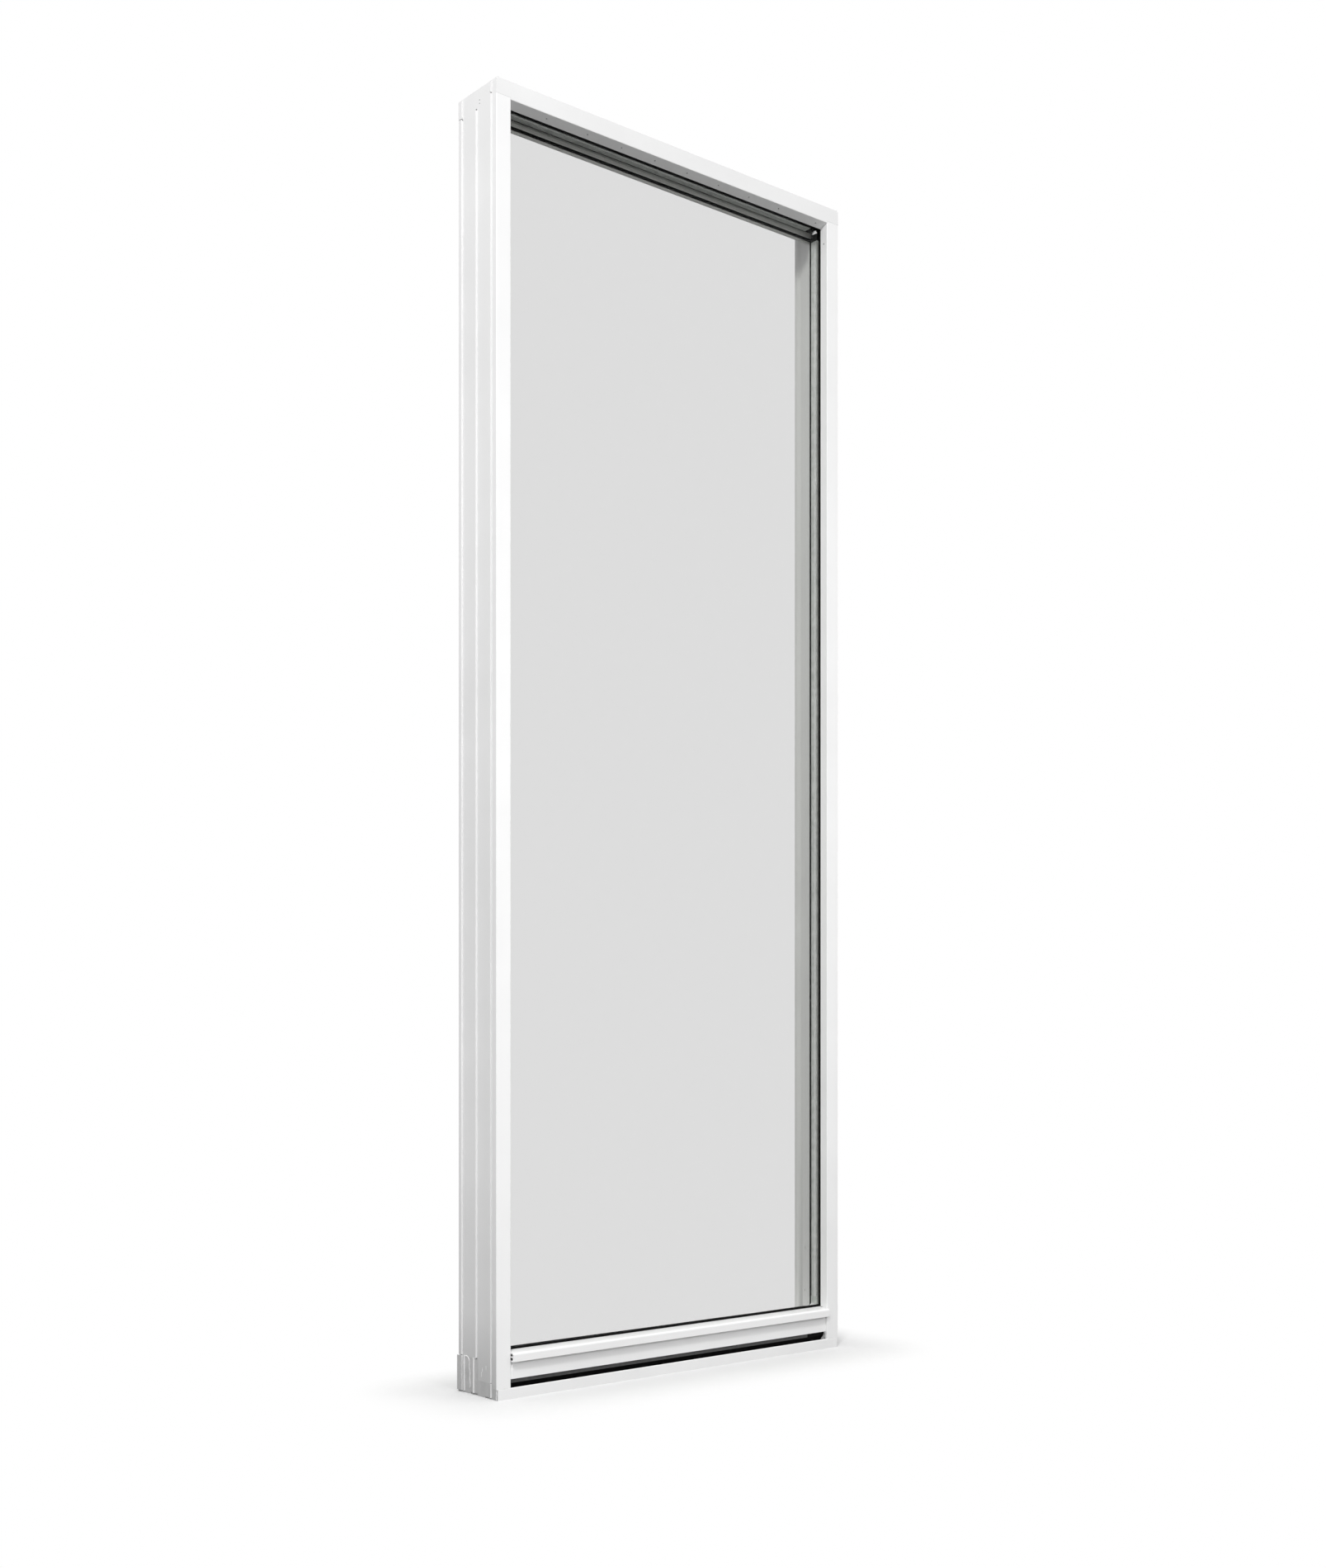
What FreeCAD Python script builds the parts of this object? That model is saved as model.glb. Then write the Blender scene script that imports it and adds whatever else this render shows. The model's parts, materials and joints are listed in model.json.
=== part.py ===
import FreeCAD, Part
import math
import os

# Fixed picture window, taller than wide: a white extruded frame whose head and sill
# run over and under two jambs, with one sealed glass unit held by a bead on the sill.
# Millimetres. X runs along the width, Y from the front face to the back, Z up.
# The origin is the middle of the base.
#
# A section is drawn as (depth, inset): depth is measured back from the front face,
# and inset is measured inwards from the outer edge of the member.

# Overall sizes
HEIGHT = 1600.0
WIDTH = 584.0
DEPTH = 82.0
WALL = 1.8

# Faces and reveals of the frame
JAMB_FACE = 21.5
HEAD_FACE = 22.5
FRONT_LEG = 13.0
HEAD_REVEAL_DROP = 5.2
EDGE_ROUND = 1.0

# Outer side of the head and the jambs, with its long ribs
RIB_HEIGHT = 2.2
RIB_THICKNESS = 1.6
FRONT_LIP = 3.0
RIB_DEPTHS = (13.5, 45.0)
BACK_STRIP = 6.3
RIB_RELIEF = 1.2

# Back half of the frame
JAMB_POCKET = 7.5
HEAD_POCKET = 8.0
REAR_RECESS = 7.4
LEG_THICKNESS = 4.0
JAMB_LEG = 18.6
HEAD_LEG = 39.8
BACK_LIP_INSET = 7.8
BACK_LIP_DEPTH = 5.5
GROOVE_INSET = 5.9
GROOVE_SLOPE = 5.5
GROOVE_FLOOR = 5.5

# Sill
SILL_LIP = 13.4
SILL_STEP = 19.0
SILL_STEP_DEPTH = 10.5
SILL_REAR = 45.0
SILL_REAR_DEPTH = 42.0
SILL_BACK_PROJECTION = 3.0
SILL_FLOOR = 2.2
SLOT_HEIGHT = 10.0
SLOT_STRIP_THICKNESS = 1.5
SLOT_STRIP_SHORT = 33.0
SLOT_CORNER = 7.5
TROUGH_DEPTH = 16.0
SILL_WALL_SETBACK = 3.5
SILL_SHELF = 45.0
SILL_POCKET = 38.0
SILL_LEG = 51.0

# Glazing bead that snaps onto the sill
BEAD_PROUD = 5.0
BEAD_FACE_TOP = 56.2
BEAD_ROUND = 3.0
BEAD_BACK_TOP = 57.6
BEAD_WALL = 1.5
BEAD_WEB_FOOT = 50.2
BEAD_WEB = 1.4
BEAD_CLEARANCE = 0.3
SNAP_LEG_DEPTH = 8.0
SNAP_LEG_THICKNESS = 1.6
SNAP_LEG_DROP = 3.4
SNAP_SLOT_CLEARANCE = 0.3

# Sealed glass unit
PANE = 4.0
CAVITY = 12.0
FRONT_GASKET = 3.6
REAR_GASKET = 3.0
GLASS_EDGE_JAMB = 10.0
GLASS_EDGE_HEAD = 16.0
EDGE_SEAL = 4.0
SPACER_HEIGHT = 8.0
SPACER_WALL = 0.6
KEY_ARM = 21.0
KEY_WEB = 2.4
BLOCK_LENGTH = 100.0
BLOCK_PLACE = 0.25

# How far the gaskets stand past the frame
FRONT_GASKET_LIP = 0.4
HEAD_GASKET_LIP = 1.0
SILL_GASKET_LIP = 2.7
GASKET_HEIGHT = 8.0
HEAD_REAR_GASKET_TOP = 34.4
HEAD_REAR_GASKET_TIP = 37.2
JAMB_REAR_GASKET_LIP = 0.6
REAR_GASKET_HEIGHT = 6.0

# Plates that close the ends of the head and the sill
CAP_THICKNESS = 2.2
HEAD_JOINT = 20.2
HEAD_JOINT_STEP = 15.0
HEAD_JOINT_REAR = 24.2
HEAD_STEP_DEPTHS = (8.0, 30.0)
SILL_CAP_RIBS = (13.5, 51.0, 71.5)
FOOT_NOTCHES = ((18.0, 28.0, 1.5), (43.0, 59.0, 2.4))

# Row of small holes in the reveals
HOLE_RADIUS = 1.1
HOLE_PITCH = 55.2
HOLES_IN_ROW = 7
HOLE_ROW_OFFSET = 17.4
HOLE_DEPTH = 7.0
LEFT_HOLE_INSET = 80.3
RIGHT_HOLE_INSET = 37.6
JAMB_HOLE_DROP = 50.0

# Places that follow from the sizes above
GLASS_FRONT = FRONT_LEG + FRONT_GASKET
CAVITY_FRONT = GLASS_FRONT + PANE
CAVITY_BACK = CAVITY_FRONT + CAVITY
GLASS_BACK = CAVITY_BACK + PANE
REAR_LEG = GLASS_BACK + REAR_GASKET
LEG_BACK = REAR_LEG + LEG_THICKNESS
SILL_DEPTH = DEPTH + SILL_BACK_PROJECTION
SLOT_TOP = SILL_LIP + SLOT_HEIGHT
BLOCK_HEIGHT = SILL_SHELF - SILL_POCKET
GLASS_EDGE_SILL = SILL_POCKET + BLOCK_HEIGHT
MIDDLE = (SILL_DEPTH - BEAD_PROUD) / 2.0
LIP_FRONT = DEPTH - BACK_LIP_DEPTH
GROOVE_FRONT = LIP_FRONT - GROOVE_SLOPE - GROOVE_FLOOR

# Where the head and the sill meet the jambs: depth of each step and its inset
HEAD_STEPS = (
    (0.0, HEAD_JOINT),
    (HEAD_STEP_DEPTHS[0], HEAD_JOINT_STEP),
    (HEAD_STEP_DEPTHS[1], HEAD_JOINT_REAR),
)
SILL_STEPS = (
    (0.0, SILL_LIP),
    (SILL_STEP_DEPTH, SILL_STEP),
    (SILL_REAR_DEPTH, SILL_REAR),
)


def place(side, depth, inset, along):
    """The point of a member's section, in the frame of the whole window."""
    y = depth - MIDDLE
    if side == "left":
        return FreeCAD.Vector(-WIDTH / 2.0 + inset, y, along)
    if side == "right":
        return FreeCAD.Vector(WIDTH / 2.0 - inset, y, along)
    if side == "head":
        return FreeCAD.Vector(along, y, HEIGHT - inset)
    return FreeCAD.Vector(along, y, inset)


def corner_arc(before, corner, after, radius):
    """Start, middle and end of the arc that rounds one corner of an outline."""
    to_before = (before - corner).normalize()
    to_after = (after - corner).normalize()
    half_angle = to_before.getAngle(to_after) / 2.0
    reach = radius / math.tan(half_angle)
    bisector = (to_before + to_after).normalize()
    centre = corner + bisector * (radius / math.sin(half_angle))
    return corner + to_before * reach, centre - bisector * radius, corner + to_after * reach


def outline(side, corners, along):
    """A closed wire through (depth, inset) corners; a third value rounds that corner."""
    points = [place(side, corner[0], corner[1], along) for corner in corners]
    edges = []
    stretches = []
    for index, corner in enumerate(corners):
        if len(corner) == 3:
            following = points[(index + 1) % len(points)]
            stretches.append(corner_arc(points[index - 1], points[index], following, corner[2]))
        else:
            stretches.append((points[index],))
    for index, stretch in enumerate(stretches):
        if len(stretch) == 3:
            edges.append(Part.Arc(*stretch).toShape())
        following = stretches[(index + 1) % len(stretches)]
        edges.append(Part.LineSegment(stretch[-1], following[0]).toShape())
    return Part.Wire(edges)


def bar(side, corners, start, end):
    """A section extruded along its member from one place to another."""
    face = Part.Face(outline(side, corners, start))
    return face.extrude(place(side, 0, 0, end) - place(side, 0, 0, start))


def rectangle(depth_1, inset_1, depth_2, inset_2):
    return [(depth_1, inset_1), (depth_2, inset_1), (depth_2, inset_2), (depth_1, inset_2)]


def outer_side():
    """Outer side of a head or jamb: front lip, ribs and back strip, from front to back."""
    corners = [(0, 0, EDGE_ROUND), (FRONT_LIP, 0), (FRONT_LIP, RIB_HEIGHT)]
    for depth in RIB_DEPTHS:
        near = depth - RIB_THICKNESS / 2.0
        far = depth + RIB_THICKNESS / 2.0
        corners += [(near, RIB_HEIGHT), (near, 0), (far, 0), (far, RIB_HEIGHT)]
    strip = DEPTH - BACK_STRIP
    return corners + [(strip, RIB_HEIGHT), (strip, 0), (DEPTH, 0, EDGE_ROUND)]


def rear_half(pocket, leg):
    """Inner side of a head or jamb from the back edge to the glazing pocket."""
    return [
        (DEPTH, BACK_LIP_INSET, EDGE_ROUND),
        (LIP_FRONT, BACK_LIP_INSET),
        (LIP_FRONT - GROOVE_SLOPE, GROOVE_INSET),
        (GROOVE_FRONT, GROOVE_INSET),
        (GROOVE_FRONT, REAR_RECESS),
        (LEG_BACK, REAR_RECESS),
        (LEG_BACK, leg, EDGE_ROUND),
        (REAR_LEG, leg),
        (REAR_LEG, pocket),
        (FRONT_LEG, pocket),
    ]


def jamb_corners():
    front = [(FRONT_LEG, JAMB_FACE), (0, JAMB_FACE, EDGE_ROUND)]
    return outer_side() + rear_half(JAMB_POCKET, JAMB_LEG) + front


def head_corners():
    front = [(FRONT_LEG, HEAD_FACE + HEAD_REVEAL_DROP), (0, HEAD_FACE, EDGE_ROUND)]
    return outer_side() + rear_half(HEAD_POCKET, HEAD_LEG) + front


def reveal_inset(face, drop, depth):
    """Inset of the front reveal at one depth; the head's reveal slopes down to the glass."""
    return face + drop * depth / FRONT_LEG


def chambers(pocket, face, drop):
    """The three hollows inside a head or jamb: front box, under the pocket, rear box."""
    skin = RIB_HEIGHT + WALL
    box_back = FRONT_LEG - WALL
    return [
        [
            (WALL, skin),
            (box_back, skin),
            (box_back, reveal_inset(face, drop, box_back) - WALL),
            (WALL, reveal_inset(face, drop, WALL) - WALL),
        ],
        rectangle(FRONT_LEG, skin, REAR_LEG - WALL, pocket - WALL),
        rectangle(REAR_LEG, skin, GROOVE_FRONT - WALL, REAR_RECESS - WALL),
    ]


def head_body_corners():
    """The part of the head that passes over the jambs, without its two glazing legs."""
    step = HEAD_STEP_DEPTHS[0]
    return [
        (0, 0),
        (0, HEAD_JOINT),
        (step, HEAD_JOINT),
        (step, HEAD_JOINT_STEP),
        (FRONT_LEG, HEAD_JOINT_STEP),
        (FRONT_LEG, HEAD_POCKET),
        (REAR_LEG, HEAD_POCKET),
        (REAR_LEG, GROOVE_INSET),
        (DEPTH, GROOVE_INSET),
        (DEPTH, 0),
    ]


def stepped_corners(steps, back, extra=0.0):
    """Outline of a member's end, with one level from each step to the next."""
    corners = [(steps[0][0], 0)]
    ends = [step[0] for step in steps[1:]] + [back]
    for (depth, level), end in zip(steps, ends):
        corners += [(depth, level + extra), (end, level + extra)]
    return corners + [(back, 0)]


def level_at(steps, depth):
    return [level for start, level in steps if start <= depth][-1]


def rib_relief(member, steps, back, side):
    """Small gaps that part the jamb's ribs from the ribs of the end plate."""
    outer, inner = end_span(side, 0.0, RIB_HEIGHT)
    gap = bar(member, stepped_corners(steps, back, RIB_RELIEF), outer, inner)
    lip = bar(member, rectangle(0, 0, FRONT_LIP, HEIGHT / 2.0), outer, inner)
    return gap.cut(lip)


def make_jamb(side):
    jamb = bar(side, jamb_corners(), 0, HEIGHT)
    for chamber in chambers(JAMB_POCKET, JAMB_FACE, 0.0):
        jamb = jamb.cut(bar(side, chamber, 0, HEIGHT))
    half = WIDTH / 2.0
    outer, inner = end_span(side, 0.0, RIB_HEIGHT + CAP_THICKNESS)
    cuts = [
        bar("head", head_body_corners(), -half, half),
        bar("sill", stepped_corners(SILL_STEPS, SILL_DEPTH), -half, half),
        bar("head", stepped_corners(HEAD_STEPS, DEPTH), outer, inner),
        rib_relief("head", HEAD_STEPS, DEPTH, side),
        rib_relief("sill", SILL_STEPS, SILL_DEPTH, side),
    ]
    for cut in cuts:
        jamb = jamb.cut(cut)
    hole_foot = place(side, HOLE_DEPTH, JAMB_FACE - 2.0 * WALL, HEIGHT - JAMB_HOLE_DROP)
    inwards = place(side, 0, 1, 0) - place(side, 0, 0, 0)
    return jamb.cut(Part.makeCylinder(HOLE_RADIUS, 4.0 * WALL, hole_foot, inwards))


def end_span(side, inset_1, inset_2):
    """Where a slice of one end of the window starts and ends along X, low value first."""
    sign = -1.0 if side == "left" else 1.0
    half = WIDTH / 2.0
    return sorted((sign * (half - inset_1), sign * (half - inset_2)))


def end_plate(member, steps, back, ribs, side):
    """A plate that closes one end of the head or the sill, with ribs in line with the jamb's."""
    low, high = end_span(side, RIB_HEIGHT, RIB_HEIGHT + CAP_THICKNESS)
    plate = bar(member, stepped_corners(steps, back), low, high)
    low, high = end_span(side, 0.0, RIB_HEIGHT)
    for near, far in ribs:
        top = level_at(steps, near)
        plate = plate.fuse(bar(member, rectangle(near, RIB_HEIGHT, far, top), low, high))
    return plate.removeSplitter()


def rib_span(depth):
    return depth - RIB_THICKNESS / 2.0, depth + RIB_THICKNESS / 2.0


def head_plate(side):
    ribs = [(0.0, FRONT_LIP), rib_span(RIB_DEPTHS[0]), (DEPTH - BACK_STRIP, DEPTH)]
    return end_plate("head", HEAD_STEPS, DEPTH, ribs, side)


def sill_plate(side):
    """The sill's end plate, with two low notches in its foot."""
    ribs = [rib_span(depth) for depth in SILL_CAP_RIBS] + [(DEPTH - BACK_STRIP, SILL_DEPTH)]
    plate = end_plate("sill", SILL_STEPS, SILL_DEPTH, ribs, side)
    low, high = end_span(side, 0.0, RIB_HEIGHT + CAP_THICKNESS)
    for near, far, rise in FOOT_NOTCHES:
        plate = plate.cut(bar("sill", rectangle(near, 0, far, rise), low, high))
    return plate


def hole_places():
    """Places of the holes along the head: an even row, and one more near each end."""
    first = HOLE_ROW_OFFSET - HOLE_PITCH * (HOLES_IN_ROW - 1) / 2.0
    row = [first + HOLE_PITCH * index for index in range(HOLES_IN_ROW)]
    half = WIDTH / 2.0
    return [LEFT_HOLE_INSET - half] + row + [half - RIGHT_HOLE_INSET]


def clear_of_jambs(member, body_corners, side_of_body):
    """Cuts away what would stand inside the jambs, past the body that runs through."""
    half = WIDTH / 2.0
    through = bar(side_of_body, body_corners, -half, half)
    for side in ("left", "right"):
        filled = bar(side, jamb_corners(), 0, HEIGHT).cut(through)
        member = member.cut(filled)
    return member


def body_half():
    """Half of the length of the head and the sill, between their end plates."""
    return WIDTH / 2.0 - RIB_HEIGHT - CAP_THICKNESS


def make_head():
    half = body_half()
    head = bar("head", head_corners(), -half, half)
    for chamber in chambers(HEAD_POCKET, HEAD_FACE, HEAD_REVEAL_DROP):
        head = head.cut(bar("head", chamber, -half, half))
    head = clear_of_jambs(head, head_body_corners(), "head")
    for along in hole_places():
        top = place("head", HOLE_DEPTH, HEAD_FACE - WALL, along)
        head = head.cut(Part.makeCylinder(HOLE_RADIUS, 6.0 * WALL, top, FreeCAD.Vector(0, 0, -1)))
    return head


def sill_corners():
    return [
        (0, 0),
        (0, SILL_LIP, EDGE_ROUND),
        (WALL, SILL_LIP),
        (WALL, SILL_FLOOR),
        (TROUGH_DEPTH, SILL_FLOOR),
        (TROUGH_DEPTH, SLOT_TOP),
        (SILL_WALL_SETBACK, SLOT_TOP),
        (SILL_WALL_SETBACK, SILL_SHELF),
        (FRONT_LEG, SILL_SHELF),
        (FRONT_LEG, SILL_POCKET),
        (REAR_LEG, SILL_POCKET),
        (REAR_LEG, SILL_LEG),
        (LEG_BACK, SILL_LEG, EDGE_ROUND),
        (LEG_BACK, SILL_REAR),
        (SILL_DEPTH, SILL_REAR, EDGE_ROUND),
        (SILL_DEPTH, 0),
    ]


def sill_chambers():
    box_back = FRONT_LEG - WALL
    web = REAR_LEG
    return [
        rectangle(SILL_WALL_SETBACK + WALL, SLOT_TOP + WALL, box_back, SILL_SHELF - WALL),
        rectangle(TROUGH_DEPTH + WALL, SILL_FLOOR, web, SILL_POCKET - WALL),
        rectangle(web + WALL, SILL_FLOOR, SILL_DEPTH - WALL, SILL_REAR - WALL),
    ]


def snap_slot():
    """The slot in the sill's shelf that takes the bead's leg."""
    near = SNAP_LEG_DEPTH - SNAP_SLOT_CLEARANCE
    far = SNAP_LEG_DEPTH + SNAP_LEG_THICKNESS + SNAP_SLOT_CLEARANCE
    return rectangle(near, SILL_SHELF - 2.0 * WALL, far, SILL_SHELF + WALL)


def make_sill():
    half = body_half()
    sill = bar("sill", sill_corners(), -half, half)
    for chamber in sill_chambers():
        sill = sill.cut(bar("sill", chamber, -half, half))
    sill = sill.cut(bar("sill", snap_slot(), -half, half))
    return clear_of_jambs(sill, stepped_corners(SILL_STEPS, SILL_DEPTH), "sill")


def make_bead():
    half = WIDTH / 2.0 - JAMB_FACE - BEAD_CLEARANCE
    leg_back = SNAP_LEG_DEPTH + SNAP_LEG_THICKNESS
    leg_foot = SILL_SHELF - SNAP_LEG_DROP
    shell = bar("sill", [
        (-BEAD_PROUD, SILL_SHELF, EDGE_ROUND / 2.0),
        (-BEAD_PROUD, BEAD_FACE_TOP, BEAD_ROUND),
        (FRONT_LEG, BEAD_BACK_TOP),
        (FRONT_LEG, SILL_SHELF),
        (leg_back, SILL_SHELF),
        (leg_back, leg_foot),
        (SNAP_LEG_DEPTH, leg_foot),
        (SNAP_LEG_DEPTH, SILL_SHELF),
    ], -half, half)
    near = BEAD_WALL - BEAD_PROUD
    far = FRONT_LEG - BEAD_WALL
    roof = BEAD_FACE_TOP - BEAD_WALL
    lower = rectangle(near, SILL_SHELF + BEAD_WALL, far, BEAD_WEB_FOOT)
    upper = [
        (near, BEAD_WEB_FOOT + BEAD_WEB),
        (near, roof, BEAD_ROUND - BEAD_WALL),
        (far, roof),
        (far, BEAD_WEB_FOOT + BEAD_WEB),
    ]
    for hollow in (lower, upper):
        shell = shell.cut(bar("sill", hollow, -half, half))
    return shell


def make_slot_seal():
    """Black seal that closes the back of the drainage slot in the sill."""
    half = WIDTH / 2.0 - JAMB_FACE - BEAD_CLEARANCE
    lean = SLOT_HEIGHT / 2.0
    near = SILL_WALL_SETBACK + WALL + SLOT_STRIP_THICKNESS
    return bar("sill", [
        (near, SLOT_TOP),
        (TROUGH_DEPTH, SLOT_TOP),
        (TROUGH_DEPTH, SLOT_TOP - 3.0 * lean),
        (TROUGH_DEPTH - lean, SLOT_TOP - 3.0 * lean),
        (near, SLOT_TOP - lean),
    ], -half, half)


def make_slot_strip():
    """Flat dark strip in front of the upper half of the seal, short of the right jamb."""
    half = WIDTH / 2.0 - JAMB_FACE - BEAD_CLEARANCE
    near = SILL_WALL_SETBACK + WALL
    section = rectangle(near, SLOT_TOP - SLOT_HEIGHT / 2.0, near + SLOT_STRIP_THICKNESS, SLOT_TOP)
    return bar("sill", section, -half, half - SLOT_STRIP_SHORT)


def make_slot_corner():
    """Small triangular fillet at the right end of the slot, in the plane of the sill's wall."""
    face_x = WIDTH / 2.0 - JAMB_FACE
    front = SILL_WALL_SETBACK - MIDDLE
    corners = [
        FreeCAD.Vector(face_x, front, SILL_LIP),
        FreeCAD.Vector(face_x - SLOT_CORNER, front, SILL_LIP),
        FreeCAD.Vector(face_x, front, SILL_LIP + SLOT_CORNER),
    ]
    face = Part.Face(Part.makePolygon(corners + corners[:1]))
    return face.extrude(FreeCAD.Vector(0, WALL, 0))


def block(x_1, x_2, depth_1, depth_2, z_1, z_2):
    corner = FreeCAD.Vector(x_1, depth_1 - MIDDLE, z_1)
    return Part.makeBox(x_2 - x_1, depth_2 - depth_1, z_2 - z_1, corner)


def make_pane(front):
    half = WIDTH / 2.0 - GLASS_EDGE_JAMB
    return block(-half, half, front, front + PANE, GLASS_EDGE_SILL, HEIGHT - GLASS_EDGE_HEAD)


def glass_edge(side):
    """Inset of the glass edge from the outer edge of one member."""
    edges = {"head": GLASS_EDGE_HEAD, "sill": GLASS_EDGE_SILL}
    return edges.get(side, GLASS_EDGE_JAMB)


def run(side, inset):
    """Where a strip starts and ends along its member, at one inset inside the glass edge."""
    if side in ("head", "sill"):
        half = WIDTH / 2.0 - GLASS_EDGE_JAMB - inset
        return -half, half
    return GLASS_EDGE_SILL + inset, HEIGHT - GLASS_EDGE_HEAD - inset


def make_edge_seal(side):
    """Black sealant round the edge of the glass unit, outside the spacer."""
    edge = glass_edge(side)
    start, end = run(side, 0.0 if side in ("head", "sill") else EDGE_SEAL)
    return bar(side, rectangle(CAVITY_FRONT, edge, CAVITY_BACK, edge + EDGE_SEAL), start, end)


def make_spacer(side):
    """Hollow bar that holds the panes apart, between two corner keys."""
    outer = glass_edge(side) + EDGE_SEAL
    inner = outer + SPACER_HEIGHT
    start, end = run(side, EDGE_SEAL + KEY_ARM)
    shell = bar(side, rectangle(CAVITY_FRONT, outer, CAVITY_BACK, inner), start, end)
    hollow = rectangle(
        CAVITY_FRONT + SPACER_WALL,
        outer + SPACER_WALL,
        CAVITY_BACK - SPACER_WALL,
        inner - SPACER_WALL,
    )
    return shell.cut(bar(side, hollow, start, end))


def make_key(member, side):
    """Corner key that joins two spacer bars, with a slanted web across its inner corner."""
    sign = -1.0 if side == "left" else 1.0
    x_outer = WIDTH / 2.0 - GLASS_EDGE_JAMB - EDGE_SEAL
    if member == "head":
        z_outer = HEIGHT - GLASS_EDGE_HEAD - EDGE_SEAL
        up = -1.0
    else:
        z_outer = GLASS_EDGE_SILL + EDGE_SEAL
        up = 1.0
    steps = [
        (0, 0),
        (KEY_ARM, 0),
        (KEY_ARM, SPACER_HEIGHT),
        (SPACER_HEIGHT + KEY_WEB, SPACER_HEIGHT),
        (SPACER_HEIGHT, SPACER_HEIGHT + KEY_WEB),
        (SPACER_HEIGHT, KEY_ARM),
        (0, KEY_ARM),
    ]
    y = CAVITY_FRONT - MIDDLE
    corners = [
        FreeCAD.Vector(sign * (x_outer - across), y, z_outer + up * rise)
        for across, rise in steps
    ]
    face = Part.Face(Part.makePolygon(corners + corners[:1]))
    return face.extrude(FreeCAD.Vector(0, CAVITY, 0))


def front_gasket_tip(side):
    tips = {
        "head": HEAD_FACE + HEAD_REVEAL_DROP + HEAD_GASKET_LIP,
        "sill": BEAD_BACK_TOP + SILL_GASKET_LIP,
    }
    return tips.get(side, JAMB_FACE + FRONT_GASKET_LIP)


def rear_gasket_span(side):
    if side == "head":
        return HEAD_REAR_GASKET_TOP, HEAD_REAR_GASKET_TIP
    leg = SILL_LEG if side == "sill" else JAMB_LEG
    tip = leg + JAMB_REAR_GASKET_LIP
    return tip - REAR_GASKET_HEIGHT, tip


def make_gasket(side, face):
    """Black strip between the frame and the glass; the jambs' strips butt the others."""
    if face == "front":
        near, far = FRONT_LEG, GLASS_FRONT
        tip = front_gasket_tip(side)
        root = tip - GASKET_HEIGHT
        ends = front_gasket_tip
    else:
        near, far = GLASS_BACK, REAR_LEG
        root, tip = rear_gasket_span(side)
        ends = rear_gasket_tip
    if side in ("head", "sill"):
        half = WIDTH / 2.0 - GLASS_EDGE_JAMB
        start, end = -half, half
    else:
        start, end = ends("sill"), HEIGHT - ends("head")
    corners = [(near, root), (far, root), (far, tip), (near, tip)]
    return bar(side, corners, start, end)


def rear_gasket_tip(side):
    return rear_gasket_span(side)[1]


def make_block(side):
    """Rubber block on the pocket floor that carries the glass unit."""
    sign = -1.0 if side == "left" else 1.0
    centre = sign * (WIDTH / 2.0 - GLASS_EDGE_JAMB) * (1.0 - 2.0 * BLOCK_PLACE)
    half = BLOCK_LENGTH / 2.0
    return block(
        centre - half, centre + half, GLASS_FRONT, GLASS_BACK, SILL_POCKET, GLASS_EDGE_SILL
    )


def build():
    pieces = {
        "head_extrusion": make_head(),
        "sill_extrusion": make_sill(),
        "sill_glazing_bead": make_bead(),
        "sill_slot_seal": make_slot_seal(),
        "sill_slot_strip": make_slot_strip(),
        "sill_slot_corner": make_slot_corner(),
        "front_pane": make_pane(GLASS_FRONT),
        "rear_pane": make_pane(CAVITY_BACK),
    }
    for side in ("left", "right"):
        pieces[side + "_jamb"] = make_jamb(side)
        pieces["head_end_plate_" + side] = head_plate(side)
        pieces["sill_end_plate_" + side] = sill_plate(side)
        pieces["setting_block_" + side] = make_block(side)
        for member in ("head", "sill"):
            pieces["spacer_key_" + member + "_" + side] = make_key(member, side)
    for side in ("head", "sill", "left", "right"):
        pieces["spacer_" + side] = make_spacer(side)
        pieces["edge_seal_" + side] = make_edge_seal(side)
        pieces["front_gasket_" + side] = make_gasket(side, "front")
        pieces["rear_gasket_" + side] = make_gasket(side, "rear")
    return pieces


os.makedirs("parts", exist_ok=True)
for name, shape in build().items():
    shape.exportStep("parts/" + name + ".step")
    print(name, len(shape.Solids), round(shape.Volume), shape.isValid())
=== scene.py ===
import json
import math
import random

import bmesh
import bpy
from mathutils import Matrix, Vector


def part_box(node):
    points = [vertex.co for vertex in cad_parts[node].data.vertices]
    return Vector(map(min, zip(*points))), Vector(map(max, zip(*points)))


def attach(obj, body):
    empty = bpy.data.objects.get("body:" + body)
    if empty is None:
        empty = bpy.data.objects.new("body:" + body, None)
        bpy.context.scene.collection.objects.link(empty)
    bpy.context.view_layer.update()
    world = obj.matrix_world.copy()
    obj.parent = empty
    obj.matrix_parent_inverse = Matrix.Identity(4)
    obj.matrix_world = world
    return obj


# Looks of a fixed picture window that stands in a plain studio. Metres.

SEED = 7

# Camera: level, with its view shifted up, as in the photograph
PHOTO_WIDTH = 1607.0
FOCAL_PIXELS = 2243.6
HORIZON_BELOW_CENTRE = 285.5
SENSOR = 36.0
AZIMUTH = -39.96
EYE_HEIGHT = 0.4607
CAMERA_DISTANCE = 2.2337
CAMERA_SIDE = 0.2011

# Spacer bars: a row of slits and, on the upright bars, a raised ridge that catches light, in paler
# metal that paints a highlight, from the front pane
RIDGE_NEAR = 0.0030
RIDGE_FAR = 0.0054
RIDGE_RISE = 0.00025
SLIT_ROW_FLAT = 0.0045
SLIT_ROW_UPRIGHT = 0.0013
SLIT_PITCH = 0.0023
SLIT_LENGTH = 0.0014
SLIT_WIDTH = 0.0006
SLIT_RISE = 0.00006
# Drop below the spacer of the painted reflection of its slits on the head's rear leg
LEG_REFLECTION_DROP = 0.0018

# How far the underside of an added piece is sunk, so that it sits without a gap
SINK = 0.0002

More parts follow.
